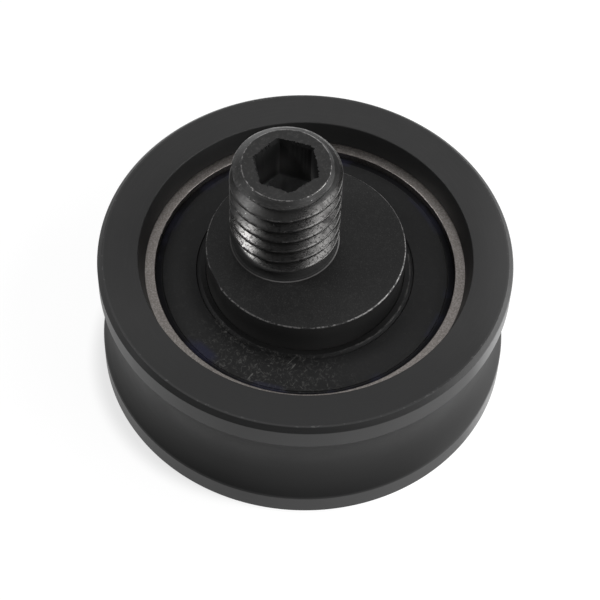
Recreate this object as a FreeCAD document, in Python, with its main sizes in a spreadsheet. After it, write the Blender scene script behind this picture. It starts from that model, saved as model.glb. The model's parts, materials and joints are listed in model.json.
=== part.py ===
import FreeCAD, Part
import math
import os

import Sketcher

# A moulded elevator door roller on a sealed ball bearing, carried by an eccentric threaded stud.
# The wheel axis is Z. The wheel's back face is at z = 0, and the stud points up.

# Driving dimensions, in millimetres, degrees and pieces
DIMENSIONS = {
    # ball bearing
    "bearing_outer_diameter": 32,
    "bearing_bore": 12,
    "bearing_width": 10,
    "bearing_corner": 0.6,
    "ball_diameter": 5.953,
    "ball_count": 7,
    "ball_clearance": 0.05,
    "race_depth": 1.05,
    # snap-in seals
    "seal_step": 0.87,
    "seal_depth": 1.3,
    "seal_inset": 0.2,
    "seal_thickness": 0.8,
    "seal_bead_height": 0.7,
    "seal_groove_width": 0.65,
    "seal_lip_width": 0.82,
    "seal_lip_rise": 0.15,
    "seal_lip_slope": 0.2,
    "seal_lip_bevel": 0.1,
    "seal_line_width": 0.18,
    "seal_line_depth": 0.14,
    "seal_lip_clearance": 0.05,
    # riveted ribbon cage
    "cage_band": 2.2,
    "cage_thickness": 0.5,
    "cage_pocket_clearance": 0.12,
    "cage_seal_clearance": 0.3,
    "rivet_diameter": 0.7,
    "rivet_head_diameter": 1.1,
    "rivet_head_height": 0.3,
    "rivet_hole_clearance": 0.02,
    # moulded wheel
    "tread_wall": 1.5,
    "groove_depth": 1.5,
    "flange_width": 2.5,
    "edge_bevel": 0.43,
    "recess_depth": 2.2,
    "recess_taper": 0.6,
    "recess_edge_round": 0.1,
    "lip_overlap": 1.3,
    # eccentric stud
    "collar_overhang": 0.02,
    "collar_height": 3.4,
    "collar_chamfer": 0.1,
    "collar_flat_depth": 0.135,
    "collar_flat_angle": 227,
    "eccentricity": 2.1,
    "stud_diameter": 10,
    "stud_length": 10.7,
    "stud_chamfer": 1.08,
    "stud_chamfer_height": 0.9,
    "neck_depth": 0.9,
    "neck_length": 1.25,
    "neck_runout": 0.2,
    "neck_fillet": 0.95,
    "thread_pitch": 1.5,
    "thread_depth": 0.8,
    "thread_overcut": 0.1,
    "thread_flank_angle": 30,
    "thread_start_height": 0.72,
    "thread_start_angle": 270,
    "hex_across_flats": 5.1,
    "hex_depth": 5,
    "hex_angle": 4,
    "drill_diameter": 4.6,
    "drill_point_angle": 118,
    "spigot_inset": 0.2,
    "spigot_chamfer": 0.3,
    # retaining ring on the spigot
    "clip_thickness": 1,
    "clip_play": 0.1,
    "clip_groove_depth": 0.25,
    "clip_band": 1.4,
    "clip_taper": 0.4,
    "clip_lug_diameter": 3,
    "clip_lug_angle": 24,
    "clip_lug_hole": 1.6,
    "clip_gap": 1.6,
}

# Sizes that follow from the driving dimensions, as expressions on the sheet
BEARING_R = "(dims.bearing_outer_diameter / 2)"
BORE_R = "(dims.bearing_bore / 2)"
BALL_R = "(dims.ball_diameter / 2)"
PITCH_R = f"(({BEARING_R} + {BORE_R}) / 2)"
RACE_R = f"({BALL_R} + dims.ball_clearance)"
RACE_HALF_WIDTH = f"sqrt({RACE_R} ^ 2 - ({BALL_R} - dims.race_depth) ^ 2)"
INNER_SHOULDER_R = f"({PITCH_R} - {BALL_R} + dims.race_depth)"
OUTER_SHOULDER_R = f"({PITCH_R} + {BALL_R} - dims.race_depth)"
SEAL_RECESS_R = f"({OUTER_SHOULDER_R} + dims.seal_step)"
MID_WIDTH = "(dims.bearing_width / 2)"

WHEEL_R = f"({BEARING_R} + dims.tread_wall + dims.groove_depth)"
WHEEL_WIDTH = "(dims.bearing_width + 2 * dims.recess_depth)"
GROOVE_HALF_WIDTH = f"({WHEEL_WIDTH} / 2 - dims.flange_width)"
GROOVE_ARC_R = f"(({GROOVE_HALF_WIDTH} ^ 2 + dims.groove_depth ^ 2) / (2 * dims.groove_depth))"
LIP_R = f"({BEARING_R} - dims.lip_overlap)"
MOUTH_R = f"({LIP_R} + dims.recess_taper)"

BACK_FACE_Z = "dims.recess_depth"
FRONT_FACE_Z = "(dims.recess_depth + dims.bearing_width)"
BALL_Z = f"({BACK_FACE_Z} + {MID_WIDTH})"
COLLAR_TOP_Z = f"({FRONT_FACE_Z} + dims.collar_height)"
STUD_END_Z = f"({COLLAR_TOP_Z} + dims.stud_length)"
COLLAR_R = f"({INNER_SHOULDER_R} + dims.collar_overhang)"
STUD_R = "(dims.stud_diameter / 2)"
CLIP_BORE_R = f"({BORE_R} - dims.clip_groove_depth)"
CLIP_Z = f"({BACK_FACE_Z} - dims.clip_thickness)"

doc = FreeCAD.newDocument("door_roller")
sheet = doc.addObject("Spreadsheet::Sheet", "dims")
for row, (alias, value) in enumerate(DIMENSIONS.items(), start=1):
    sheet.set(f"A{row}", alias)
    sheet.set(f"B{row}", str(value))
    sheet.setAlias(f"B{row}", alias)
doc.recompute()

sub_parts = []


def number(expression):
    return float(sheet.evalExpression(expression))


def bind(item, expressions):
    for path, expression in expressions.items():
        item.setExpression(path, expression)


def sub_part(item, label):
    item.Label = label
    sub_parts.append(item)
    return item


def new_body(label):
    return sub_part(doc.addObject("PartDesign::Body", label), label)


# Sketches


def new_sketch(body, name, plane):
    sketch = body.newObject("Sketcher::SketchObject", name)
    support = next(item for item in body.Origin.OriginFeatures if item.Role == plane)
    sketch.AttachmentSupport = [(support, "")]
    sketch.MapMode = "FlatFace"
    return sketch


def arc_between(start, end, radius, centre_side):
    """Arc from start to end, with its centre on the left (+1) or the right (-1) of the way there."""
    chord = end.sub(start)
    to_centre = FreeCAD.Vector(-chord.y, chord.x, 0).normalize().multiply(centre_side)
    rise = math.sqrt(max(radius**2 - (chord.Length / 2) ** 2, 0))
    centre = start.add(chord.multiply(0.5)).add(to_centre.multiply(rise))
    first, last = (start, end) if centre_side > 0 else (end, start)
    angles = [math.atan2(p.y - centre.y, p.x - centre.x) for p in (first, last)]
    return Part.ArcOfCircle(Part.Circle(centre, FreeCAD.Vector(0, 0, 1), radius), *angles)


def outline(body, name, corners, plane="XZ_Plane"):
    """Closed outline through corners (x, y), counterclockwise, each coordinate an expression.

    A corner (x, y, radius, side) is followed by an arc, with its centre on that side of the way on.
    """
    sketch = new_sketch(body, name, plane)
    places = [FreeCAD.Vector(number(corner[0]), number(corner[1]), 0) for corner in corners]
    leaving, arriving = [], []
    for index, corner in enumerate(corners):
        start, end = places[index], places[(index + 1) % len(places)]
        if len(corner) == 2:
            edge = sketch.addGeometry(Part.LineSegment(start, end))
            leaving.append((edge, 1))
            arriving.append((edge, 2))
            continue
        radius, side = corner[2:]
        edge = sketch.addGeometry(arc_between(start, end, number(radius), side))
        leaving.append((edge, 1 if side > 0 else 2))
        arriving.append((edge, 2 if side > 0 else 1))
    for index, corner in enumerate(corners):
        sketch.addConstraint(Sketcher.Constraint("Coincident", *arriving[index - 1], *leaving[index]))
        place_point(sketch, leaving[index], corner[:2], places[index], f"p{index}")
        if len(corner) == 4:
            radius = Sketcher.Constraint("Radius", index, number(corner[2]))
            dimension(sketch, radius, f"r{index}", corner[2])
    return sketch


def place_point(sketch, point, expressions, place, name):
    """Ties a point to its distances from the sketch's axes, or to an axis where it lies on one."""
    if expressions[0] == "0":
        sketch.addConstraint(Sketcher.Constraint("PointOnObject", *point, -2))
    else:
        across = Sketcher.Constraint("DistanceX", -1, 1, *point, place.x)
        dimension(sketch, across, name + "x", expressions[0])
    if expressions[1] == "0":
        sketch.addConstraint(Sketcher.Constraint("PointOnObject", *point, -1))
    else:
        along = Sketcher.Constraint("DistanceY", -1, 1, *point, place.y)
        dimension(sketch, along, name + "y", expressions[1])


def dimension(sketch, constraint, name, expression):
    constraint.Name = name
    sketch.addConstraint(constraint)
    sketch.setExpression(f"Constraints.{name}", expression)


def revolve(body, sketch, name):
    turned = body.newObject("PartDesign::Revolution", name)
    turned.Profile = sketch
    turned.ReferenceAxis = (sketch, ["V_Axis"])
    turned.Angle = 360
    doc.recompute()
    return turned


def cut_pocket(body, sketch, name, depth):
    """Cuts from the sketch down into the body, and makes sure that something was removed."""
    before = body.Shape.Volume
    pocket = body.newObject("PartDesign::Pocket", name)
    pocket.Profile = sketch
    bind(pocket, {"Length": depth})
    doc.recompute()
    if body.Shape.Volume >= before:
        raise RuntimeError(f"{name} cuts nothing")
    return pocket


# Primitives and their booleans


def cylinder(name, radius, height, x="0", y="0", z="0"):
    solid = doc.addObject("Part::Cylinder", name)
    bind(solid, {"Radius": radius, "Height": height})
    bind(solid, {"Placement.Base.x": x, "Placement.Base.y": y, "Placement.Base.z": z})
    return solid


def sphere(name, radius, x, y, z="0"):
    solid = doc.addObject("Part::Sphere", name)
    bind(solid, {"Radius": radius})
    bind(solid, {"Placement.Base.x": x, "Placement.Base.y": y, "Placement.Base.z": z})
    return solid


def combine(kind, name, solids):
    result = doc.addObject(f"Part::{kind}", name)
    result.Shapes = solids
    return result


def cut(name, base, tool):
    result = doc.addObject("Part::Cut", name)
    result.Base = base
    result.Tool = tool
    return result


def on_circle(radius, angle):
    """Expressions for x and y at an angle, in degrees, on a circle about the origin."""
    return f"{radius} * cos({angle} * 1 deg)", f"{radius} * sin({angle} * 1 deg)"


def ball_angle(index):
    return f"(360 / dims.ball_count * {index})"


def turn_over(item, z):
    """Turns a bearing piece over to face the back of the wheel, with its own z = 0 at the given height."""
    item.Placement = FreeCAD.Placement(FreeCAD.Vector(), FreeCAD.Rotation(FreeCAD.Vector(1, 0, 0), 180))
    item.setExpression("Placement.Base.z", z)


# Sub-parts


def make_roller_wheel():
    """Nylon moulded round the bearing: a concave tread between two flanges, with a lip at each face."""
    body = new_body("roller_wheel")
    corner_r = "dims.bearing_corner"
    bevel = "dims.edge_bevel"
    rim = "dims.recess_edge_round"
    corners = [
        (f"{MOUTH_R} + {rim}", "0"),
        (f"{WHEEL_R} - {bevel}", "0"),
        (WHEEL_R, bevel),
        (WHEEL_R, "dims.flange_width", GROOVE_ARC_R, -1),
        (WHEEL_R, f"{WHEEL_WIDTH} - dims.flange_width"),
        (WHEEL_R, f"{WHEEL_WIDTH} - {bevel}"),
        (f"{WHEEL_R} - {bevel}", WHEEL_WIDTH),
        (f"{MOUTH_R} + {rim}", WHEEL_WIDTH, rim, +1),
        (MOUTH_R, f"{WHEEL_WIDTH} - {rim}"),
        (LIP_R, FRONT_FACE_Z),
        (f"{BEARING_R} - {corner_r}", FRONT_FACE_Z, corner_r, -1),
        (BEARING_R, f"{FRONT_FACE_Z} - {corner_r}"),
        (BEARING_R, f"{BACK_FACE_Z} + {corner_r}", corner_r, -1),
        (f"{BEARING_R} - {corner_r}", BACK_FACE_Z),
        (LIP_R, BACK_FACE_Z),
        (MOUTH_R, rim, rim, +1),
    ]
    revolve(body, outline(body, "wheel_section", corners), "wheel_moulding")


def make_outer_ring():
    body = new_body("bearing_outer_ring")
    corner_r = "dims.bearing_corner"
    width = "dims.bearing_width"
    step = "dims.seal_depth"
    corners = [
        (SEAL_RECESS_R, "0"),
        (f"{BEARING_R} - {corner_r}", "0", corner_r, +1),
        (BEARING_R, corner_r),
        (BEARING_R, f"{width} - {corner_r}", corner_r, +1),
        (f"{BEARING_R} - {corner_r}", width),
        (SEAL_RECESS_R, width),
        (SEAL_RECESS_R, f"{width} - {step}"),
        (OUTER_SHOULDER_R, f"{width} - {step}"),
        (OUTER_SHOULDER_R, f"{MID_WIDTH} + {RACE_HALF_WIDTH}", RACE_R, -1),
        (OUTER_SHOULDER_R, f"{MID_WIDTH} - {RACE_HALF_WIDTH}"),
        (OUTER_SHOULDER_R, step),
        (SEAL_RECESS_R, step),
    ]
    revolve(body, outline(body, "outer_ring_section", corners), "outer_ring_turning")
    body.setExpression("Placement.Base.z", BACK_FACE_Z)


def make_inner_ring():
    body = new_body("bearing_inner_ring")
    corner_r = "dims.bearing_corner"
    width = "dims.bearing_width"
    corners = [
        (f"{BORE_R} + {corner_r}", "0"),
        (INNER_SHOULDER_R, "0"),
        (INNER_SHOULDER_R, f"{MID_WIDTH} - {RACE_HALF_WIDTH}", RACE_R, -1),
        (INNER_SHOULDER_R, f"{MID_WIDTH} + {RACE_HALF_WIDTH}"),
        (INNER_SHOULDER_R, width),
        (f"{BORE_R} + {corner_r}", width, corner_r, +1),
        (BORE_R, f"{width} - {corner_r}"),
        (BORE_R, corner_r, corner_r, +1),
    ]
    revolve(body, outline(body, "inner_ring_section", corners), "inner_ring_turning")
    body.setExpression("Placement.Base.z", BACK_FACE_Z)


def make_balls():
    for index in range(int(number("dims.ball_count"))):
        x, y = on_circle(PITCH_R, ball_angle(index))
        sub_part(sphere(f"ball_{index + 1}", BALL_R, x, y, BALL_Z), f"ball_{index + 1}")


def make_cage_half(label):
    """Pressed ribbon: a flat ring in the plane of the ball centres, with a round pocket over each ball."""
    band_outer = f"({PITCH_R} + dims.cage_band / 2)"
    band_inner = f"({PITCH_R} - dims.cage_band / 2)"
    pocket_r = f"({BALL_R} + dims.cage_pocket_clearance)"
    dome_r = f"({pocket_r} + dims.cage_thickness)"
    seal_inner_face = f"({MID_WIDTH} - dims.seal_inset - dims.seal_thickness)"
    height = f"{seal_inner_face} - dims.cage_seal_clearance"
    hole_r = "dims.rivet_diameter / 2 + dims.rivet_hole_clearance"

    domes = [cylinder(f"{label}_flat", band_outer, "dims.cage_thickness")]
    cuts = [cylinder(f"{label}_centre", band_inner, height)]
    for index in range(int(number("dims.ball_count"))):
        x, y = on_circle(PITCH_R, ball_angle(index))
        domes.append(sphere(f"{label}_dome_{index + 1}", dome_r, x, y))
        cuts.append(sphere(f"{label}_pocket_{index + 1}", pocket_r, x, y))
        x, y = on_circle(PITCH_R, ball_angle(index + 0.5))
        cuts.append(cylinder(f"{label}_rivet_hole_{index + 1}", hole_r, height, x, y))
    blank = cylinder(f"{label}_blank", band_outer, height)
    pressed = combine("MultiFuse", f"{label}_domes", domes)
    ribbon = combine("MultiCommon", f"{label}_ribbon", [blank, pressed])
    half = cut(label, ribbon, combine("MultiFuse", f"{label}_cuts", cuts))
    return sub_part(half, label)


def make_cage():
    front = make_cage_half("cage_front_half")
    front.setExpression("Placement.Base.z", BALL_Z)
    turn_over(make_cage_half("cage_rear_half"), BALL_Z)


def make_cage_rivets():
    """One round-headed rivet through both cage halves between each two balls."""
    body = new_body("cage_rivets")
    body.AllowCompound = True
    shank_r = "dims.rivet_diameter / 2"
    head_r = "dims.rivet_head_diameter / 2"
    head_h = "dims.rivet_head_height"
    grip = "2 * dims.cage_thickness"
    dome_r = f"(({head_r}) ^ 2 + {head_h} ^ 2) / (2 * {head_h})"
    corners = [
        ("0", "0", dome_r, +1),
        (head_r, head_h),
        (shank_r, head_h),
        (shank_r, f"{head_h} + {grip}"),
        (head_r, f"{head_h} + {grip}", dome_r, +1),
        ("0", f"2 * {head_h} + {grip}"),
    ]
    section = outline(body, "rivet_section", corners)
    section.setExpression("AttachmentOffset.Base.x", PITCH_R)
    rivet = revolve(body, section, "rivet")
    ring = body.newObject("PartDesign::PolarPattern", "rivet_ring")
    ring.Originals = [rivet]
    axis = next(item for item in body.Origin.OriginFeatures if item.Role == "Z_Axis")
    ring.Axis = (axis, [""])
    ring.Angle = 360
    ring.setExpression("Occurrences", "dims.ball_count")
    body.Tip = ring
    bind(body, {"Placement.Rotation.Angle": f"{ball_angle(0.5)} * 1 deg"})
    bind(body, {"Placement.Base.z": f"{BALL_Z} - {head_h} - dims.cage_thickness"})


def make_seal(label):
    """Moulded seal: a bead snapped into the outer ring, a flat disc, a fine line and the raised lip."""
    body = new_body(label)
    top = "(dims.bearing_width - dims.seal_inset)"
    bottom = f"({top} - dims.seal_thickness)"
    seat = "(dims.bearing_width - dims.seal_depth)"
    lip_r = f"({INNER_SHOULDER_R} + dims.seal_lip_clearance)"
    line_r = f"({lip_r} + dims.seal_lip_width)"
    line_half = "dims.seal_line_width / 2"
    lip_top = f"({top} + dims.seal_lip_rise)"
    disc_r = f"({SEAL_RECESS_R} - dims.seal_groove_width)"
    corners = [
        (lip_r, bottom),
        (OUTER_SHOULDER_R, bottom),
        (OUTER_SHOULDER_R, seat),
        (SEAL_RECESS_R, seat),
        (SEAL_RECESS_R, f"{seat} + dims.seal_bead_height"),
        (disc_r, f"{seat} + dims.seal_bead_height"),
        (disc_r, top),
        (f"{line_r} + {line_half}", top),
        (line_r, f"{top} - dims.seal_line_depth"),
        (f"{line_r} - {line_half}", top),
        (f"{line_r} - {line_half} - dims.seal_lip_slope", lip_top),
        (f"{lip_r} + dims.seal_lip_bevel", lip_top),
        (lip_r, f"{lip_top} - dims.seal_lip_bevel"),
    ]
    revolve(body, outline(body, f"{label}_section", corners), f"{label}_moulding")
    return body


def make_seals():
    make_seal("front_seal").setExpression("Placement.Base.z", BACK_FACE_Z)
    turn_over(make_seal("rear_seal"), FRONT_FACE_Z)


def make_eccentric_stud():
    """One turned piece: spigot in the bearing, collar on the inner ring, and stud beside the axis."""
    body = new_body("eccentric_stud")
    groove_r = CLIP_BORE_R
    groove_z = f"{CLIP_Z} - dims.clip_play"
    bevel = "dims.collar_chamfer"
    end_bevel = "dims.spigot_chamfer"
    spigot_and_collar = [
        ("0", "dims.spigot_inset"),
        (f"{BORE_R} - {end_bevel}", "dims.spigot_inset"),
        (BORE_R, f"dims.spigot_inset + {end_bevel}"),
        (BORE_R, groove_z),
        (groove_r, groove_z),
        (groove_r, BACK_FACE_Z),
        (BORE_R, BACK_FACE_Z),
        (BORE_R, FRONT_FACE_Z),
        (COLLAR_R, FRONT_FACE_Z),
        (COLLAR_R, f"{COLLAR_TOP_Z} - {bevel}"),
        (f"{COLLAR_R} - {bevel}", COLLAR_TOP_Z),
        ("0", COLLAR_TOP_Z),
    ]
    revolve(body, outline(body, "spigot_section", spigot_and_collar), "spigot_turning")

    neck_r = f"({STUD_R} - dims.neck_depth)"
    fillet = "dims.neck_fillet"
    neck_end_z = f"({COLLAR_TOP_Z} + dims.neck_length)"
    stud = [
        ("0", COLLAR_TOP_Z),
        (f"{neck_r} + {fillet}", COLLAR_TOP_Z, fillet, -1),
        (neck_r, f"{COLLAR_TOP_Z} + {fillet}"),
        (neck_r, f"{neck_end_z} - dims.neck_runout"),
        (STUD_R, neck_end_z),
        (STUD_R, f"{STUD_END_Z} - dims.stud_chamfer_height"),
        (f"{STUD_R} - dims.stud_chamfer", STUD_END_Z),
        ("0", STUD_END_Z),
    ]
    stud_section = outline(body, "stud_section", stud)
    stud_section.setExpression("AttachmentOffset.Base.x", "-dims.eccentricity")
    revolve(body, stud_section, "stud_turning")

    cut_thread(body)
    cut_pocket(body, hex_outline(body), "hex_socket", "dims.hex_depth")
    cut_drill_point(body)
    cut_pocket(body, collar_flat_outline(body), "collar_flat", "dims.collar_height")


def cut_thread(body):
    """V groove wound up the stud: it starts clear in the neck and runs out through the end chamfer."""
    root_r = f"({STUD_R} - dims.thread_depth)"
    outer_r = f"({STUD_R} + dims.thread_overcut)"
    start_z = f"({COLLAR_TOP_Z} + dims.thread_start_height)"
    root_half = "dims.thread_pitch / 8"
    flank = "tan(dims.thread_flank_angle * 1 deg)"
    outer_half = f"({root_half} + (dims.thread_depth + dims.thread_overcut) * {flank})"
    corners = [
        (root_r, f"{start_z} - {root_half}"),
        (outer_r, f"{start_z} - {outer_half}"),
        (outer_r, f"{start_z} + {outer_half}"),
        (root_r, f"{start_z} + {root_half}"),
    ]
    section = outline(body, "thread_section", corners)
    about_stud = FreeCAD.Rotation(FreeCAD.Vector(0, 1, 0), number("dims.thread_start_angle"))
    section.AttachmentOffset = FreeCAD.Placement(FreeCAD.Vector(), about_stud)
    bind(section, {"AttachmentOffset.Base.x": "-dims.eccentricity"})
    bind(section, {"AttachmentOffset.Rotation.Angle": "dims.thread_start_angle * 1 deg"})
    groove = body.newObject("PartDesign::SubtractiveHelix", "thread_groove")
    groove.Profile = section
    groove.ReferenceAxis = (section, ["V_Axis"])
    groove.HasBeenEdited = True
    groove.Mode = "pitch-height-angle"
    bind(groove, {"Pitch": "dims.thread_pitch"})
    bind(groove, {"Height": f"{STUD_END_Z} + dims.thread_pitch / 2 - {start_z}"})
    doc.recompute()


def cut_drill_point(body):
    """Cone that the drill left under the hexagon."""
    socket_z = f"({STUD_END_Z} - dims.hex_depth)"
    drill_r = "(dims.drill_diameter / 2)"
    height = f"{drill_r} / tan(dims.drill_point_angle / 2 * 1 deg)"
    corners = [("0", f"{socket_z} - {height}"), (drill_r, socket_z), ("0", socket_z)]
    section = outline(body, "drill_section", corners)
    section.setExpression("AttachmentOffset.Base.x", "-dims.eccentricity")
    point = body.newObject("PartDesign::Groove", "drill_point")
    point.Profile = section
    point.ReferenceAxis = (section, ["V_Axis"])
    point.Angle = 360
    doc.recompute()


def hex_outline(body):
    """Hexagon on the stud's end, about the stud's own axis."""
    sketch = new_sketch(body, "hex_section", "XY_Plane")
    bind(sketch, {"AttachmentOffset.Base.x": "-dims.eccentricity"})
    bind(sketch, {"AttachmentOffset.Base.z": STUD_END_Z})
    bind(sketch, {"AttachmentOffset.Rotation.Angle": "dims.hex_angle * 1 deg"})
    corner_r = "dims.hex_across_flats / sqrt(3)"
    ring = Part.Circle(FreeCAD.Vector(), FreeCAD.Vector(0, 0, 1), number(corner_r))
    places = [ring.value(math.radians(60 * index)) for index in range(6)]
    for index, place in enumerate(places):
        sketch.addGeometry(Part.LineSegment(place, places[(index + 1) % 6]))
    circle = sketch.addGeometry(ring, True)
    sketch.addConstraint(Sketcher.Constraint("Coincident", circle, 3, -1, 1))
    dimension(sketch, Sketcher.Constraint("Radius", circle, ring.Radius), "corner_radius", corner_r)
    for index in range(6):
        sketch.addConstraint(Sketcher.Constraint("Coincident", index, 2, (index + 1) % 6, 1))
        sketch.addConstraint(Sketcher.Constraint("PointOnObject", index, 1, circle))
    for index in range(1, 6):
        sketch.addConstraint(Sketcher.Constraint("Equal", 0, index))
    sketch.addConstraint(Sketcher.Constraint("PointOnObject", 0, 1, -1))
    return sketch


def collar_flat_outline(body):
    """Rectangle outside the small index flat on the collar's rim."""
    flat_x = f"{COLLAR_R} - dims.collar_flat_depth"
    width = f"2 * {COLLAR_R}"
    corners = [(flat_x, "0"), (width, "0"), (width, width), (flat_x, width)]
    sketch = outline(body, "collar_flat_section", corners, "XY_Plane")
    angle = "dims.collar_flat_angle * 1 deg"
    bind(sketch, {"AttachmentOffset.Base.x": f"{COLLAR_R} * sin({angle})"})
    bind(sketch, {"AttachmentOffset.Base.y": f"-{COLLAR_R} * cos({angle})"})
    bind(sketch, {"AttachmentOffset.Base.z": COLLAR_TOP_Z})
    bind(sketch, {"AttachmentOffset.Rotation.Angle": angle})
    return sketch


def make_retaining_ring():
    """Spring ring in the spigot's groove: a band that thins towards two lugs, each with a plier hole."""
    height = "dims.clip_thickness"
    lug_r = "(dims.clip_lug_diameter / 2)"
    gap = "dims.clip_gap"
    blank = [cylinder("clip_band", f"{CLIP_BORE_R} + dims.clip_band", height, "dims.clip_taper")]
    cuts = [cylinder("clip_bore", CLIP_BORE_R, height)]
    for side in (-1, 1):
        x, y = on_circle(f"({CLIP_BORE_R} + {lug_r})", f"(180 + {side} * dims.clip_lug_angle)")
        blank.append(cylinder("clip_lug", lug_r, height, x, y))
        cuts.append(cylinder("clip_lug_hole", "dims.clip_lug_hole / 2", height, x, y))
    opening = doc.addObject("Part::Box", "clip_opening")
    bind(opening, {"Length": "dims.bearing_bore", "Width": gap, "Height": height})
    bind(opening, {"Placement.Base.x": "-dims.bearing_bore", "Placement.Base.y": f"-{gap} / 2"})
    cuts.append(opening)
    whole = combine("MultiFuse", "clip_blank", blank)
    ring = cut("retaining_ring", whole, combine("MultiFuse", "clip_cuts", cuts))
    ring.setExpression("Placement.Base.z", CLIP_Z)
    sub_part(ring, "retaining_ring")


make_roller_wheel()
make_outer_ring()
make_inner_ring()
make_balls()
make_cage()
make_cage_rivets()
make_seals()
make_eccentric_stud()
make_retaining_ring()
doc.recompute()

for item in doc.Objects:
    if "Invalid" in item.State or "Error" in item.State:
        raise RuntimeError(f"{item.Label} failed: {item.State}")
for item in sub_parts:
    if item.Shape.isNull() or not item.Shape.isValid():
        raise RuntimeError(f"{item.Label} has no valid shape")

os.makedirs("parts", exist_ok=True)
for item in sub_parts:
    item.Shape.exportStep(f"parts/{item.Label}.step")
    print(item.Label, len(item.Shape.Solids), round(item.Shape.Volume, 2))
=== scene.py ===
import json
import math

import bmesh
import bpy
from mathutils import Matrix, Vector, noise


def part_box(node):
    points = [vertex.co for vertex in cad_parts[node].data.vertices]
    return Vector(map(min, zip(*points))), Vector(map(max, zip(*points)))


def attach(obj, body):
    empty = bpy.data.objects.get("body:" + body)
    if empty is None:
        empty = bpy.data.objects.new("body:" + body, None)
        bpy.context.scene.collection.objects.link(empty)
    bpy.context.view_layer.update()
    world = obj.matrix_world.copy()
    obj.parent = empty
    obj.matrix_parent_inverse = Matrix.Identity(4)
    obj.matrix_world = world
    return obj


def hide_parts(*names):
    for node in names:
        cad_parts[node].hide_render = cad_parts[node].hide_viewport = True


# An elevator door roller: a grooved nylon wheel on a sealed bearing, with an eccentric threaded stud.
# Everything is in metres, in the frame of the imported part: the wheel's axis is Z, and its back face
# is at z = 0.

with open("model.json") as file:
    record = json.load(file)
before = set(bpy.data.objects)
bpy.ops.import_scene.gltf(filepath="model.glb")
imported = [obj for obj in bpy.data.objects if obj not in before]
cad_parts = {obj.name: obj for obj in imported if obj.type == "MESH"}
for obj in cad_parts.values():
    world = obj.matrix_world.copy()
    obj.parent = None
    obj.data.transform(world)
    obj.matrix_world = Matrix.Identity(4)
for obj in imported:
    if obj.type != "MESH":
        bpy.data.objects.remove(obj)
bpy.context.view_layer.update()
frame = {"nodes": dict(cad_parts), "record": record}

MM = 0.001

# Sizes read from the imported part
_, wheel_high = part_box("roller_wheel")
ring_low, ring_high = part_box("bearing_outer_ring")
_, inner_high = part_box("bearing_inner_ring")
seal_low, seal_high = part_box("front_seal")
stud_low, stud_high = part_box("eccentric_stud")

WHEEL_R = wheel_high.x
WHEEL_WIDTH = wheel_high.z
BEARING_R = ring_high.x
BACK_FACE_Z = ring_low.z
FRONT_FACE_Z = ring_high.z
INNER_SHOULDER_R = inner_high.x
SEAL_RECESS_R = seal_high.x
SEAL_LIP_TOP_Z = seal_high.z
SEAL_SEAT_Z = seal_low.z
COLLAR_R = stud_high.x
STUD_END_Z = stud_high.z
SPIGOT_END_Z = stud_low.z

# Moulded wheel
GROOVE_DEPTH = 1.5 * MM
FLANGE_WIDTH = 2.5 * MM
EDGE_BEVEL = 0.43 * MM
RECESS_TAPER = 0.6 * MM
LIP_OVERLAP = 1.3 * MM
EDGE_ROUND = 0.08 * MM
LIP_R = BEARING_R - LIP_OVERLAP
MOUTH_R = LIP_R + RECESS_TAPER

# Bearing ring and seal
BEARING_CORNER = 0.6 * MM
BORE_R = 6 * MM
RACE_R = 3.0265 * MM
RACE_DEPTH = 1.1 * MM
SEAL_STEP = 0.87 * MM
SEAL_THICKNESS = 0.8 * MM
SEAL_BEAD_HEIGHT = 0.6 * MM
SEAL_DISH = 0.4 * MM
SEAL_GROOVE_WIDTH = 0.65 * MM
SEAL_LIP_WIDTH = 0.82 * MM
SEAL_LIP_RISE = 0.15 * MM
SEAL_LIP_SLOPE = 0.2 * MM
SEAL_LIP_BEVEL = 0.03 * MM
SEAL_LINE_WIDTH = 0.18 * MM
SEAL_LINE_DEPTH = 0.09 * MM
SEAL_LIP_CLEARANCE = 0.05 * MM
SEAL_ROUND = 0.05 * MM
OUTER_SHOULDER_R = SEAL_RECESS_R - SEAL_STEP
SEAL_LIP_R = INNER_SHOULDER_R + SEAL_LIP_CLEARANCE
SEAL_LINE_R = SEAL_LIP_R + SEAL_LIP_WIDTH
SEAL_LIP_CREST_R = SEAL_LINE_R - SEAL_LINE_WIDTH / 2 - SEAL_LIP_SLOPE
SEAL_DISC_R = SEAL_RECESS_R - SEAL_GROOVE_WIDTH
SEAL_TOP_Z = SEAL_LIP_TOP_Z - SEAL_LIP_RISE
SCUFF_ANGLE = math.radians(273)
SCRATCH_ANGLE = math.radians(76)
SMEAR_ANGLE = math.radians(248)
# Direction of the painted highlight on the seal's lip
LIP_HIGHLIGHT_ANGLE = math.radians(3.4)

# Eccentric stud
ECCENTRICITY = 2.1 * MM
STUD_R = 5 * MM
STUD_LENGTH = 10.7 * MM
STUD_CHAMFER = 1.08 * MM
STUD_CHAMFER_HEIGHT = 0.9 * MM
NECK_DEPTH = 0.9 * MM
NECK_LENGTH = 1.25 * MM
NECK_RUNOUT = 0.2 * MM
NECK_FILLET = 0.95 * MM
COLLAR_CHAMFER = 0.1 * MM
COLLAR_FLAT_DEPTH = 0.135 * MM
COLLAR_FLAT_ANGLE = math.radians(227)
COLLAR_FOOT = 0.6 * MM
COLLAR_SKIRT = 0.2 * MM
COLLAR_SKIRT_STEP = 0.01 * MM
THREAD_PITCH = 1.5 * MM
THREAD_ROOT_HALF = THREAD_PITCH / 8
THREAD_DEPTH = 0.8 * MM
THREAD_FLANK = math.tan(math.radians(30))
THREAD_START = math.radians(270)
THREAD_START_HEIGHT = 0.72 * MM
THREAD_BEVEL = 0.03 * MM
NICK_SPACING = 0.5 * MM
NICK_DEPTH = 0.12 * MM
NICK_THRESHOLD = 0.25
HEX_ACROSS_FLATS = 5.1 * MM
HEX_DEPTH = 5 * MM
HEX_ANGLE = math.radians(4)
HEX_TEAR_DEPTH = 0.3 * MM
HEX_TEAR_ANGLE = math.radians(150)
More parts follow.
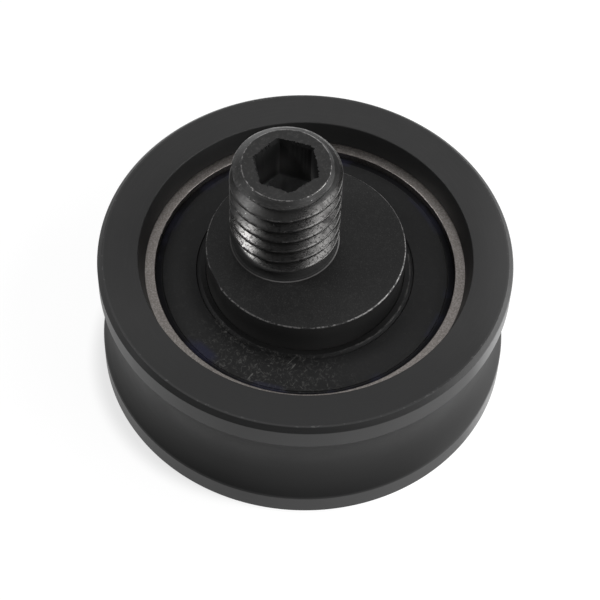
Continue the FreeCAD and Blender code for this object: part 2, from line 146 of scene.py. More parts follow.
HEX_TEAR_TURN = math.radians(5)
HEX_TEAR_WIDTH = 0.14 * MM
HEX_TEAR_WAVE = 0.1 * MM
HEX_TEAR_ROUGHNESS = 0.22 * MM
HEX_TEAR_LEAST = 0.02 * MM
HEX_TEAR_WAVE_SCALE = 9
HEX_TEAR_ROUGH_SCALE = 35
DRILL_R = 2.3 * MM
DRILL_TIP_SHARE = 0.2
DRILL_CONE = DRILL_R / math.tan(math.radians(59))
CLIP_GROOVE_DEPTH = 0.25 * MM
CLIP_GROOVE_WIDTH = 1.1 * MM
SPIGOT_CHAMFER = 0.3 * MM
SPIGOT_MIDDLE_R = 0.4 * BORE_R
COLLAR_TOP_Z = STUD_END_Z - STUD_LENGTH
SOCKET_FLOOR_Z = STUD_END_Z - HEX_DEPTH
THREAD_START_Z = COLLAR_TOP_Z + THREAD_START_HEIGHT
END_RIM_R = STUD_R - STUD_CHAMFER

# Fineness of the meshes
WHEEL_SEGMENTS = 256
STUD_SEGMENTS = 240
ROUND_STEPS = 5
GROOVE_STEPS = 40
RACE_STEPS = 16
FLANK_STEPS = 6
FILLET_STEPS = 8
WELD_DISTANCE = 0.0005 * MM
SHARP_ANGLE = math.radians(32)
PACKED_SHARP_ANGLE = math.radians(28)

# Photograph's view, measured on the round edges of the wheel. Lens and sensor are in millimetres.
VIEW_AZIMUTH = math.radians(21.4)
VIEW_ELEVATION = math.radians(55.54)
VIEW_ROLL = math.radians(1.96)
VIEW_DISTANCE = 197.4 * MM
VIEW_AIM = Vector((-0.37, -3.33, 11.61)) * MM
VIEW_LENS = 129.65
SENSOR_WIDTH = 36

# Level directions on the part, to the right and to the front of that view
RIGHTWARD = VIEW_AZIMUTH
NEARWARD = RIGHTWARD - math.pi / 2

# Floor and the soft shade on it
FLOOR_SIZE = 12
SHADE_ANGLE = VIEW_AZIMUTH + math.radians(205)
SHADE_OFFSET = 4 * MM
SHADE_R = 17.3 * MM
SHADE_SOFTNESS = 2.1 * MM


# Shader expressions


class Value:
    """A socket of a finish's node tree. Arithmetic on it adds Math nodes."""

    def __init__(self, finish, socket):
        self.finish = finish
        self.socket = socket

    def __add__(self, other):
        return self.finish.maths("ADD", self, other)

    def __sub__(self, other):
        return self.finish.maths("SUBTRACT", self, other)

    def __rsub__(self, other):
        return self.finish.maths("SUBTRACT", other, self)

    def __mul__(self, other):
        return self.finish.maths("MULTIPLY", self, other)

    def __truediv__(self, other):
        return self.finish.maths("DIVIDE", self, other)

    def __rtruediv__(self, other):
        return self.finish.maths("DIVIDE", other, self)

    __radd__ = __add__
    __rmul__ = __mul__


class Finish:
    """A material whose nodes are added by expressions."""

    def __init__(self, name):
        self.material = bpy.data.materials.new(name)
        self.material.use_nodes = True
        self.tree = self.material.node_tree
        self.tree.nodes.clear()
        self.shader = self.node("ShaderNodeBsdfPrincipled", output=None)
        surface = Value(self, self.shader.outputs["BSDF"])
        self.node("ShaderNodeOutputMaterial", inputs={"Surface": surface}, output=None)
        self.place = self.node("ShaderNodeTexCoord", output="Object")
        parts = self.node("ShaderNodeSeparateXYZ", inputs={"Vector": self.place}, output=None)
        self.x, self.y, self.z = (Value(self, parts.outputs[axis]) for axis in "XYZ")

    def node(self, kind, settings=None, inputs=None, output=0):
        """Adds a node with its settings and inputs, and gives one of its outputs, or the node itself."""
        made = self.tree.nodes.new(kind)
        for name, setting in (settings or {}).items():
            setattr(made, name, setting)
        for name, given in (inputs or {}).items():
            self.feed(made.inputs[name], given)
        return made if output is None else Value(self, made.outputs[output])

    def feed(self, socket, given):
        if isinstance(given, Value):
            self.tree.links.new(given.socket, socket)
        else:
            socket.default_value = given

    def maths(self, operation, first, second=0.0, clamp=False):
        settings = {"operation": operation, "use_clamp": clamp}
        return self.node("ShaderNodeMath", settings, {0: first, 1: second})

    def step(self, value, low, high, start=0.0, end=1.0):
        """Smooth change from start to end as value goes from low to high."""
        settings = {"interpolation_type": "SMOOTHSTEP"}
        inputs = {"Value": value, "From Min": low, "From Max": high, "To Min": start, "To Max": end}
        return self.node("ShaderNodeMapRange", settings, inputs)

    def band(self, value, middle, half_width, softness):
        """One within half_width of the middle, and zero past the soft edge."""
        distance = self.maths("ABSOLUTE", value - middle)
        return self.step(distance, half_width, half_width + softness, 1.0, 0.0)

    def noise(self, scale, detail, roughness=0.55, place=None, distortion=0.0):
        inputs = {
            "Vector": place or self.place,
            "Scale": scale,
            "Detail": detail,
            "Roughness": roughness,
            "Distortion": distortion,
        }
        return self.node("ShaderNodeTexNoise", inputs=inputs, output="Fac")

    def radius(self, centre_x=0.0, centre_y=0.0):
        """Distance from an upright axis."""
        across = self.x - centre_x
        ahead = self.y - centre_y
        return self.maths("SQRT", across * across + ahead * ahead)

    def along(self, angle):
        """Distance from the wheel's axis along a level direction."""
        return self.x * math.cos(angle) + self.y * math.sin(angle)

    def polar(self, around, centre_x=0.0):
        """Round coordinates: a point on a circle of the size around for the angle, then the distance
        from the axis."""
        across = self.x - centre_x
        distance = self.radius(centre_x)
        turned = (across / distance * around, self.y / distance * around, distance)
        return self.node("ShaderNodeCombineXYZ", inputs=dict(zip("XYZ", turned)))

    def mix(self, factor, first, second):
        settings = {"data_type": "RGBA"}
        inputs = {0: factor, 6: colour(first), 7: colour(second)}
        return self.node("ShaderNodeMix", settings, inputs, 2)

    def painted(self, tone, *coats):
        """The tone with coats laid over it in turn. Each is a mask and its colour."""
        for mask, coat in coats:
            tone = self.mix(mask, tone, coat)
        return tone

    def bump(self, height, distance, strength):
        inputs = {"Height": height, "Distance": distance, "Strength": strength}
        return self.node("ShaderNodeBump", inputs=inputs)

    def set(self, **inputs):
        """Sets or links the shader's own sockets, with underscores for spaces. Gives the material."""
        for name, given in inputs.items():
            socket = self.shader.inputs[name.replace("_", " ")]
            self.feed(socket, colour(given) if name == "Base_Color" else given)
        return self.material


def colour(given):
    """Colour for a socket from a value, a grey number or three numbers."""
    if isinstance(given, Value):
        return given
    if isinstance(given, (int, float)):
        given = (given, given, given)
    return (*given, 1.0)


# Finishes


def black_nylon():
    """Satin black moulding: faintly mottled, with fine lines round the axis and a few pale nicks on the
    rim. Painted shade lies on the tread, the recess, the bevel, the near side and part of the flange,
    painted light on the right side and its flange, and a faint painted highlight along the rim."""
    finish = Finish("black_nylon")
    half = WHEEL_WIDTH / 2
    from_axis = finish.radius()
    from_mid = finish.maths("ABSOLUTE", finish.z - half)
    rightward = finish.along(RIGHTWARD)
    nearward = finish.along(NEARWARD)
    mottle = finish.noise(350, 4)
    grain = finish.noise(9000, 2)
    lines = finish.noise(7000, 2, place=finish.polar(0.0006))
    specks = finish.step(finish.noise(5200, 2, 0.7), 0.7, 0.76)

    groove_edge = half - FLANGE_WIDTH
    bevel_edge = WHEEL_R - EDGE_BEVEL
    bevel_foot = half - EDGE_BEVEL
    tread = finish.step(from_mid, groove_edge + 0.05 * MM, groove_edge - 0.1 * MM)
    tread = tread * finish.step(from_axis, WHEEL_R - 0.02 * MM, WHEEL_R - 0.15 * MM)
    flange = finish.step(from_axis, WHEEL_R - 0.08 * MM, WHEEL_R - 0.03 * MM)
    # Painted shade in the recess round the bearing
    recess_shade = finish.step(from_axis, MOUTH_R + 0.02 * MM, MOUTH_R - 0.04 * MM)
    recess_shade = recess_shade * finish.step(from_mid, half - 0.05 * MM, half - 0.15 * MM)
    # Painted shade on the rim's bevel, across the middle of the view
    shaded_bevel = finish.step(from_axis, bevel_edge, bevel_edge + 0.06 * MM)
    shaded_bevel = shaded_bevel * finish.step(from_mid, bevel_foot - 0.02 * MM, bevel_foot + 0.06 * MM)
    shaded_bevel = shaded_bevel * finish.band(rightward, 0, 11.5 * MM, 3.2 * MM)
    # A faint painted highlight runs along the rim's edge; the pale nicks lie in it
    rim = finish.band(from_axis, bevel_edge - 0.08 * MM, 0.04 * MM, 0.1 * MM)
    rim = rim * finish.step(from_mid, half - 0.1 * MM, half - 0.05 * MM)
    nicks = rim * finish.step(finish.noise(2600, 2), 0.62, 0.7)

    # Painted light on the right side, and more on its flange
    painted_light_from = 14.5 * MM
    painted_light_side = finish.step(rightward, painted_light_from, 19.5 * MM)
    # Painted shade on the near side, and on the flange a little left of the middle
    painted_shade_near_side = finish.step(nearward, 6 * MM, 15 * MM)
    painted_light_flange = flange * finish.step(rightward, painted_light_from, 18 * MM)
    painted_shade_flange = flange * finish.band(rightward, -8 * MM, 3 * MM, 4 * MM)
    # Painted shade on the tread, heavier to the left and lighter at the far right
    tread_shade = finish.step(rightward, 1 * MM, -9 * MM, 0.7, 0.97)
    tread_shade = tread_shade - finish.step(rightward, 8 * MM, 14 * MM, 0.0, 0.1)
    tone = finish.painted(
        finish.mix(mottle, (0.0335, 0.0335, 0.0338), (0.042, 0.0415, 0.0412)),
        (finish.step(lines, 0.45, 0.75) * 0.09, 0.075),
        (specks * 0.3, 0.08),
        (painted_light_side * 0.5, 0.075),
        (painted_shade_near_side * 0.65, (0.026, 0.026, 0.0262)),
        (painted_shade_flange * 0.4, 0.01),
        (painted_light_flange * 0.75, 0.2),
        (tread * tread_shade, 0.004),
        (recess_shade * 0.62, 0.006),
        (shaded_bevel * 0.55, 0.008),
        (rim * 0.12 + nicks * 0.45, 0.13),
    )
    rough = 0.4 + mottle * 0.08 + (lines - 0.5) * 0.1 + specks * 0.15
    normal = finish.bump(grain * 0.6 + lines * 0.5, 0.006 * MM, 0.5)
    return finish.set(Base_Color=tone, Roughness=rough, Normal=normal, IOR=1.3)


def ground_steel():
    """Bearing steel, ground in circles and dulled to a sandy grain."""
    finish = Finish("ground_bearing_steel")
    lines = finish.noise(14000, 3, 0.7, place=finish.polar(0.0008))
    stain = finish.noise(700, 4)
    sand = finish.noise(7000, 2, 0.7)
    tone = finish.painted(
        finish.mix(stain, (0.213, 0.194, 0.182), (0.292, 0.268, 0.252)),
        (finish.step(sand, 0.42, 0.66), (0.4, 0.37, 0.35)),
    )
    rough = 0.3 + lines * 0.12 + sand * 0.1
    normal = finish.bump(lines * 0.5 + sand, 0.006 * MM, 0.6)
    return finish.set(Base_Color=tone, Roughness=rough, Metallic=1.0, Normal=normal)


def seal_rubber():
    """Black moulded rubber with flecks and short scratches on one side, and a few bluish smears. The lip
    carries a painted shadow of the collar and a broken painted highlight; the sunk rim, faintly blue,
    and the disc beside the lip carry painted shade."""
    finish = Finish("seal_rubber")
    from_axis = finish.radius()
    toward_scuffs = finish.along(SCUFF_ANGLE)
    bloom = finish.noise(420, 5, 0.6)
    pores = finish.noise(8000, 2)
    wrinkles = finish.noise(2200, 5, 0.7)

    scuffed = finish.step(toward_scuffs / from_axis + (bloom - 0.5) * 0.4, 0.72, 1.0)
    flecks = finish.step(finish.noise(2200, 5, 0.8, distortion=1.2), 0.5, 0.72)
    flecks = flecks * (0.1 + scuffed * 0.9)
    settings = {"vector_type": "TEXTURE"}
    inputs = {"Vector": finish.place, "Rotation": (0, 0, SCRATCH_ANGLE), "Scale": (1.0, 0.2, 1.0)}
    streaks = finish.noise(600, 2, 0.5, place=finish.node("ShaderNodeMapping", settings, inputs))
    scratches = finish.step(streaks, 0.67, 0.75) * scuffed

    # Painted shade in the sunk rim round the disc, faintly blue
    sunk_rim_shade = finish.step(from_axis, SEAL_DISC_R - 0.04 * MM, SEAL_DISC_R + 0.18 * MM, 0.0, 0.95)
    # Painted shadow of the collar on the lip, heaviest towards the front
    shadowed_lip = finish.step(from_axis, SEAL_LIP_CREST_R + 0.08 * MM, SEAL_LIP_CREST_R - 0.08 * MM)
    shadowed_lip = shadowed_lip * finish.step(toward_scuffs, 1 * MM, 7 * MM, 0.35, 1.0)
    # Painted shade on the disc beside the lip, towards the front
    shade_beside_lip = finish.step(from_axis, SEAL_LINE_R + 1.7 * MM, SEAL_LINE_R - 0.2 * MM)
    shade_beside_lip = shade_beside_lip * finish.step(toward_scuffs, -2 * MM, 8 * MM)
    # Broken painted highlight along the lip's crest, on the right
    lip_highlight = finish.band(from_axis, SEAL_LIP_CREST_R, 0.04 * MM, 0.07 * MM)
    lip_highlight = lip_highlight * finish.step(finish.along(LIP_HIGHLIGHT_ANGLE), 5.5 * MM, 8.5 * MM)
    lip_highlight = lip_highlight * finish.step(finish.noise(1300, 4, 0.7), 0.4, 0.62)
    smear = finish.band(from_axis, SEAL_DISC_R + 0.1 * MM, 0.25 * MM, 0.35 * MM)
    smear = smear * finish.step(finish.noise(230, 2), 0.48, 0.6)
    drop = finish.band(finish.along(SMEAR_ANGLE), SEAL_DISC_R - 0.3 * MM, 0.2 * MM, 0.6 * MM)
    drop = drop * finish.band(finish.along(SMEAR_ANGLE + math.pi / 2), 0, 0.6 * MM, 1.2 * MM)
    drop = drop * finish.step(toward_scuffs, 0, 1 * MM)

    tone = finish.painted(
        finish.mix(bloom, (0.0092, 0.0092, 0.0095), (0.0155, 0.0155, 0.0157)),
        (scuffed * 0.5, 0.006),
        (flecks, (0.1, 0.098, 0.094)),
        (scratches, (0.12, 0.118, 0.114)),
        (shadowed_lip, (0.0105, 0.0104, 0.0103)),
        (lip_highlight * 0.7, (0.085, 0.083, 0.08)),
        (sunk_rim_shade, (0.0125, 0.0125, 0.0145)),
        (smear * 0.4, (0.018, 0.019, 0.045)),
        (drop * 0.8, (0.0115, 0.0125, 0.034)),
    )
    rough = 0.5 + bloom * 0.12 - scratches * 0.08
    # A black metal finish deepens the painted shade in the sunk rim and beside the lip
    painted_shade = finish.maths("MAXIMUM", sunk_rim_shade * (0.95 - smear * 0.3), shade_beside_lip * 0.6) * (1 - lip_highlight)
    normal = finish.bump(pores * 0.4 + bloom * 0.6 + wrinkles, 0.03 * MM, 0.6)
    return finish.set(Base_Color=tone, Roughness=rough, Metallic=painted_shade * 0.9, Normal=normal, IOR=1.36)


class StudFinish(Finish):
    """Finish of the turned stud, with the textures and zones that its tones share."""

    def __init__(self, name):
        super().__init__(name)
        # Places
        self.from_axis = self.radius()
        self.from_stud = self.radius(-ECCENTRICITY)
        self.rightward = self.along(RIGHTWARD)
        self.right_of_stud = self.rightward + ECCENTRICITY * math.cos(RIGHTWARD)
        self.depth = STUD_R - self.from_stud
        self.above_collar = self.z - COLLAR_TOP_Z
        self.below_end = STUD_END_Z - self.z

        # Textures
        self.mottle = self.noise(900, 4)
        self.sand = self.noise(8000, 3, 0.7)
        self.chips = self.noise(4200, 3, 0.6)
        self.pits = self.step(self.noise(4800, 3, 0.65), 0.46, 0.4)
        self.turning = self.noise(9000, 3, 0.7, place=self.polar(0.0007, -ECCENTRICITY))
        leaning = self.z - self.x * 0.8 + self.noise(500, 3) * 2 * MM
        self.blacker = self.step(leaning, 25 * MM, 27 * MM)

        # Zones, one inside and zero outside
        outside = self.step(self.from_stud, END_RIM_R - 0.02 * MM, END_RIM_R + 0.05 * MM)
        self.thread = outside * self.step(self.above_collar, 1.6 * MM, 1.75 * MM)
        self.chamfer = outside * self.step(self.below_end, 1.1 * MM, 0.9 * MM)
        self.neck = self.step(self.above_collar, 0.03 * MM, 0.1 * MM)
        self.neck = self.neck * self.step(self.above_collar, 1.7 * MM, 1.5 * MM)
        self.end_face = self.step(self.below_end, 0.02 * MM, 0.01 * MM)
        self.collar_side = self.step(self.from_axis, COLLAR_R - 0.2 * MM, COLLAR_R - 0.1 * MM)
        self.collar_side = self.collar_side * self.step(self.above_collar, -0.05 * MM, -0.15 * MM)
        self.socket = self.step(self.from_stud, END_RIM_R - 0.7 * MM, END_RIM_R - 0.9 * MM)
        self.socket = self.socket * self.step(self.above_collar, 0, 1 * MM) * (1 - self.end_face)

    def thread_tone(self):
        """Black worn through to pitted metal, with chipped crests and turned lines on the chamfer. The
        chamfer's burrs also carry a painted highlight, and the far right edge painted shade.
        """
        near_crest = self.step(self.depth, 0.95 * THREAD_DEPTH, 0.5 * THREAD_DEPTH)
        crest = self.step(self.depth, 0.08 * MM, 0.03 * MM) * self.step(self.chips, 0.35, 0.55)
        wear = self.step(self.noise(330, 3), 0.28, 0.5) * (0.2 + near_crest * 0.8)
        wear = wear * (1 - self.blacker * 0.85) * (1 - self.pits * 0.75) * (1 - self.chamfer * 0.7)
        # Bright burrs on the chamfer, which also stand for its painted edge highlight
        burr_and_highlight = self.step(self.depth, 0.75 * MM, 0.3 * MM) * self.step(self.chips, 0.42, 0.62)
        turned_lines = self.step(self.turning, 0.5, 0.66)
        # Painted shade along the thread's far right edge
        shaded_far_edge = self.step(self.right_of_stud, 3.3 * MM, 4.7 * MM)
        root = self.mix(self.blacker, (0.022, 0.0217, 0.0213), (0.04, 0.0395, 0.039))
        flank = self.mix(self.blacker, (0.0125, 0.0123, 0.0121), (0.036, 0.0355, 0.035))
        bright_metal = (0.1, 0.098, 0.097)
        return self.painted(
            self.mix(self.maths("MAXIMUM", near_crest, self.chamfer), root, flank),
            (wear, (0.1, 0.098, 0.096)),
            (self.chamfer * 0.45, (0.018, 0.0178, 0.0175)),
            (crest * 0.4, bright_metal),
            (self.chamfer * burr_and_highlight * 0.5, bright_metal),
            (self.chamfer * turned_lines * 0.4, (0.075, 0.074, 0.073)),
            (shaded_far_edge * 0.75, (0.02, 0.0197, 0.0194)),
        )

    def socket_tone(self):
        """Walls painted lighter with depth and towards the foot, with painted shade to both sides, and a
        gritty floor painted lighter to the right.
        """
        # Painted light that grows with depth
        painted_light_depth = self.step(self.below_end, 0.3 * MM, HEX_DEPTH)
        # Painted shade on the walls to both sides
        shaded_right_wall = self.step(self.right_of_stud, 0.0, 2 * MM)
        shaded_left_wall = self.step(self.right_of_stud, -0.4 * MM, -1.1 * MM)
        # Painted light towards the foot of the walls, less on the shaded sides
        foot = self.step(self.below_end, 0.4 * HEX_DEPTH, 0.95 * HEX_DEPTH)
        foot = foot * (1 - shaded_left_wall * 0.9) * (1 - shaded_right_wall * 0.6)
        floor = self.step(self.below_end, HEX_DEPTH - 0.3 * MM, HEX_DEPTH - 0.05 * MM)
        grit = self.step(self.noise(2600, 4, 0.7), 0.35, 0.65)
        # Painted light on the socket's floor, stronger to the right
        painted_light_floor_tone = self.mix(self.step(self.right_of_stud, -1.4 * MM, 0.4 * MM), 0.09, 0.42)
        return self.painted(
            self.mix(painted_light_depth, 0.014, (0.14, 0.138, 0.136)),
            (shaded_right_wall * 0.55, 0.008),
            (shaded_left_wall * 0.85, 0.012),
            (foot, (0.19, 0.187, 0.184)),
            (floor, self.mix(grit * 0.35, painted_light_floor_tone, 0.3)),
        )

    def collar_side_tone(self):
        """Paler at the foot, with painted shade on the right."""
        foot = self.step(self.z, FRONT_FACE_Z + 2 * MM, FRONT_FACE_Z)
        # Painted shade on the collar's right side
        painted_shade_side = self.step(self.rightward, 1 * MM, 7.5 * MM)
        side = self.mix(foot, (0.0275, 0.0272, 0.027), (0.043, 0.0425, 0.042))
        return self.mix(painted_shade_side, side, 0.008)

    def bright_chips(self):
        """Where the sharp edges and spots on the thread are chipped to bright metal. The lines on the
        chamfer's shoulder and at the neck's foot also stand for painted highlights.
        """
        rim = self.band(self.from_stud, END_RIM_R, 0.015 * MM, 0.05 * MM)
        rim = rim * self.step(self.below_end, 0.12 * MM, 0.04 * MM)
        # Burr along the chamfer's shoulder, which also stands for its painted edge highlight
        shoulder_burr_and_highlight = self.chamfer * self.band(self.depth, 0.15 * MM, 0.03 * MM, 0.07 * MM)
        edge = self.band(self.from_axis, COLLAR_R - COLLAR_CHAMFER / 2, 0.03 * MM, 0.04 * MM)
        edge = edge * self.step(self.above_collar, -0.15 * MM, -0.05 * MM)
        foot = self.band(self.depth, 0.05 * MM, 0.03 * MM, 0.05 * MM)
        foot = foot * self.band(self.above_collar, 0, 0.03 * MM, 0.06 * MM)
        broken = self.step(self.chips + (self.noise(700, 2) - 0.5) * 0.6, 0.38, 0.62)
        edges = (rim * 0.62 + edge * 0.42 + shoulder_burr_and_highlight * 0.4) * broken + shoulder_burr_and_highlight * 0.2
        # The neck's foot line is part wear and part painted highlight, brighter to the right
        edges = edges + foot * self.step(self.x, -4 * MM, 1 * MM, 0.14, 0.54)
        specks = self.step(self.noise(3300, 4, 0.7) + self.blacker * 0.06, 0.7, 0.78)
        return self.maths("MAXIMUM", edges, self.thread * specks * 0.8, clamp=True)


def black_oxide():
    """Blackened turned steel: bare and pitted on the thread, and chipped to bright metal along
    the sharp edges."""
    finish = StudFinish("black_oxide_steel")
    speckle = finish.step(finish.sand, 0.54, 0.7)
    wash = finish.step(finish.noise(2400, 4, 0.7), 0.5, 0.7)
    flecks = finish.step(finish.chips, 0.5, 0.72)
    chipped = finish.bright_chips()
    tone = finish.painted(
        finish.mix(finish.mottle, (0.0102, 0.0102, 0.0104), (0.0155, 0.0153, 0.0151)),
        (speckle * 0.6, (0.055, 0.054, 0.053)),
        (wash * 0.3, (0.04, 0.0395, 0.039)),
        (finish.end_face * (0.35 + finish.mottle * 0.5), (0.0325, 0.032, 0.0315)),
        (finish.end_face * flecks * 0.4, (0.085, 0.083, 0.081)),
        (finish.collar_side * 0.8, finish.collar_side_tone()),
        (finish.socket, finish.socket_tone()),
        (finish.neck * 0.7, (0.014, 0.0138, 0.0136)),
        (finish.thread, finish.thread_tone()),
        (chipped, (0.42, 0.41, 0.405)),
    )
    bare = finish.thread * (0.9 - finish.chamfer * 0.5) * (1 - finish.blacker * 0.4)
    bare = finish.maths("MAXIMUM", bare, chipped, clamp=True)
    metal = bare + finish.socket * 0.35
    rough = 0.44 + finish.mottle * 0.08 + (finish.turning - 0.5) * 0.1 - bare * 0.26
    rough = rough + (finish.neck + finish.socket) * 0.4
    smoothed = finish.thread * (0.75 - finish.blacker * 0.35)
    relief = (finish.sand + finish.turning * 0.5) * (1 - smoothed)
    relief = relief - finish.pits * finish.thread * 0.3
    normal = finish.bump(relief, 0.012 * MM, 0.7)
    return finish.set(Base_Color=tone, Roughness=rough, Metallic=metal, Normal=normal, IOR=1.37)


def spring_steel():
    """Phosphated spring steel strip."""
    finish = Finish("spring_steel")
    mottle = finish.noise(1200, 4)
    fine = finish.noise(12000, 2)
    tone = finish.mix(mottle, (0.05, 0.05, 0.053), (0.09, 0.088, 0.086))
    rough = 0.42 + fine * 0.14
    normal = finish.bump(fine, 0.006 * MM, 0.6)
    return finish.set(Base_Color=tone, Roughness=rough, Metallic=0.85, Normal=normal)


def pressed_steel():
    """Cold rolled strip, pressed to shape."""
    finish = Finish("pressed_steel")
    mottle = finish.noise(1500, 4)
    fine = finish.noise(9000, 3)
    tone = finish.mix(mottle, (0.42, 0.41, 0.39), (0.55, 0.54, 0.52))
    rough = 0.32 + fine * 0.12
    normal = finish.bump(fine, 0.004 * MM, 0.5)
    return finish.set(Base_Color=tone, Roughness=rough, Metallic=1.0, Normal=normal)


# Meshes: every turned or moulded piece is a stack of rings, each with the same number of points


def ring_angles(segments=STUD_SEGMENTS):
    """Angles of the points of a ring, from a corner of the hexagon."""
    return [HEX_ANGLE + 2 * math.pi * index / segments for index in range(segments)]


def circle(radius, z, segments=STUD_SEGMENTS):
    """Ring about the wheel's axis."""
    return [Vector((radius * math.cos(a), radius * math.sin(a), z)) for a in ring_angles(segments)]


def ring_faces(rings):
    """Faces between each ring of points and the next."""
    for low, high in zip(rings, rings[1:]):
        for index in range(len(low)):
            yield low[index - 1], low[index], high[index], high[index - 1]


def end_faces(ring):
    """Faces from a ring of points to its middle."""
    middle = sum(ring, Vector()) / len(ring)
    for index, point in enumerate(ring):
        yield ring[index - 1], point, middle


def climbing_faces(rows, climb):
    """Faces between rows that climb as they go round. The end of each row meets the start of the row
    that lies climb places on."""
    top = len(rows) - 1
    for place in range(top):
        low = rows[place] + rows[min(place + climb, top)][:1]
        high = rows[place + 1] + rows[min(place + climb + 1, top)][:1]
        for index in range(len(low) - 1):
            yield low[index], low[index + 1], high[index + 1], high[index]


def skin(name, faces):
    """Mesh of the given faces, joined where their corners meet."""
    mesh = bmesh.new()
    for corners in faces:
        mesh.faces.new([mesh.verts.new(corner) for corner in corners])
    bmesh.ops.remove_doubles(mesh, verts=mesh.verts, dist=WELD_DISTANCE)
    bmesh.ops.recalc_face_normals(mesh, faces=mesh.faces)
    data = bpy.data.meshes.new(name)
    mesh.to_mesh(data)
    mesh.free()
    piece = bpy.data.objects.new(name, data)
    bpy.context.scene.collection.objects.link(piece)
    shade_smooth(data, SHARP_ANGLE)
    weighted = piece.modifiers.new("even_normals", "WEIGHTED_NORMAL")
    weighted.keep_sharp = True
    return piece


def shade_smooth(data, sharp_angle):
    """Smooth shading with sharp edges above an angle."""
    data.polygons.foreach_set("use_smooth", [True] * len(data.polygons))
    data.set_sharp_from_angle(angle=sharp_angle)


def rounded(corners):
    """Closed section through corners (r, z, radius), with each corner rounded to its radius."""
    points = []
    for index, (r, z, radius) in enumerate(corners):
        here = Vector((r, z))
        before = Vector(corners[index - 1][:2])
        after = Vector(corners[(index + 1) % len(corners)][:2])
        if radius == 0:
            points.append(here)
            continue
        to_before = (before - here).normalized()
        to_after = (after - here).normalized()
        half = to_before.angle(to_after) / 2
        reach = radius / math.tan(half)
        centre = here + (to_before + to_after).normalized() * radius / math.sin(half)
        first = here + to_before * reach - centre
        last = here + to_after * reach - centre
        sweep = first.angle_signed(last)
        for step in range(ROUND_STEPS + 1):
            turn = Matrix.Rotation(-sweep * step / ROUND_STEPS, 2)
            points.append(centre + turn @ first)
    return points


def arc_points(start, end, depth, steps):
    """Points strictly between start and end on the arc that dips to the left of the way by depth."""
    chord = end - start
    onward = chord.normalized()
    left = Vector((-chord.y, chord.x)).normalized()
    radius = ((chord.length / 2) ** 2 + depth**2) / (2 * depth)
    centre = (start + end) / 2 + left * (depth - radius)
    half = math.asin(chord.length / 2 / radius)
    found = []
    for step in range(1, steps):
        angle = half * (2 * step / steps - 1)
        found.append(centre + left * radius * math.cos(angle) + onward * radius * math.sin(angle))
    return found


def lathe(name, section):
    """Turned piece from a closed section of points (r, z)."""
    rings = [circle(p.x, p.y, WHEEL_SEGMENTS) for p in section]
    return skin(name, ring_faces(rings + rings[:1]))


def dress(piece, body, slot, material, *nodes):
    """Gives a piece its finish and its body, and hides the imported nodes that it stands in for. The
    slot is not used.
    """
    piece.data.materials.append(material)
    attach(piece, body)
    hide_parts(*nodes)


# Pieces


def make_wheel(material):
    """Grooved wheel, moulded over the bearing with a lip on each face."""
    groove_low = Vector((WHEEL_R, FLANGE_WIDTH))
    groove_high = Vector((WHEEL_R, WHEEL_WIDTH - FLANGE_WIDTH))
    dip = arc_points(groove_low, groove_high, GROOVE_DEPTH, GROOVE_STEPS)
    section = rounded(
        [
            (MOUTH_R, 0, EDGE_ROUND),
            (WHEEL_R - EDGE_BEVEL, 0, EDGE_ROUND),
            (WHEEL_R, EDGE_BEVEL, EDGE_ROUND),
            (*groove_low, EDGE_ROUND),
            *((*point, 0) for point in dip),
            (*groove_high, EDGE_ROUND),
            (WHEEL_R, WHEEL_WIDTH - EDGE_BEVEL, EDGE_ROUND),
            (WHEEL_R - EDGE_BEVEL, WHEEL_WIDTH, EDGE_ROUND),
            (MOUTH_R, WHEEL_WIDTH, EDGE_ROUND),
            (LIP_R, FRONT_FACE_Z, EDGE_ROUND),
            (BEARING_R, FRONT_FACE_Z, BEARING_CORNER),
            (BEARING_R, BACK_FACE_Z, BEARING_CORNER),
            (LIP_R, BACK_FACE_Z, EDGE_ROUND),
        ]
    )
    dress(lathe("grooved_wheel", section), "wheel", "black_nylon", material, "roller_wheel")


def make_outer_ring(material):
    """Outer ring of the bearing, with its race and a seat for each seal."""
    depth = FRONT_FACE_Z - SEAL_SEAT_Z
    mid = (FRONT_FACE_Z + BACK_FACE_Z) / 2
    race_half = math.sqrt(RACE_R**2 - (RACE_R - RACE_DEPTH) ** 2)
    race_start = Vector((OUTER_SHOULDER_R, mid + race_half))
    race_end = Vector((OUTER_SHOULDER_R, mid - race_half))
    race = arc_points(race_start, race_end, RACE_DEPTH, RACE_STEPS)
    section = rounded(
        [
            (SEAL_RECESS_R, BACK_FACE_Z, EDGE_ROUND),
            (BEARING_R, BACK_FACE_Z, BEARING_CORNER),
            (BEARING_R, FRONT_FACE_Z, BEARING_CORNER),
            (SEAL_RECESS_R, FRONT_FACE_Z, EDGE_ROUND),
            (SEAL_RECESS_R, FRONT_FACE_Z - depth, 0),
            (OUTER_SHOULDER_R, FRONT_FACE_Z - depth, 0),
            *((*point, 0) for point in (race_start, *race, race_end)),
            (OUTER_SHOULDER_R, BACK_FACE_Z + depth, 0),
            (SEAL_RECESS_R, BACK_FACE_Z + depth, 0),
        ]
    )
    dress(lathe("outer_ring", section), "wheel", "bearing_steel", material, "bearing_outer_ring")


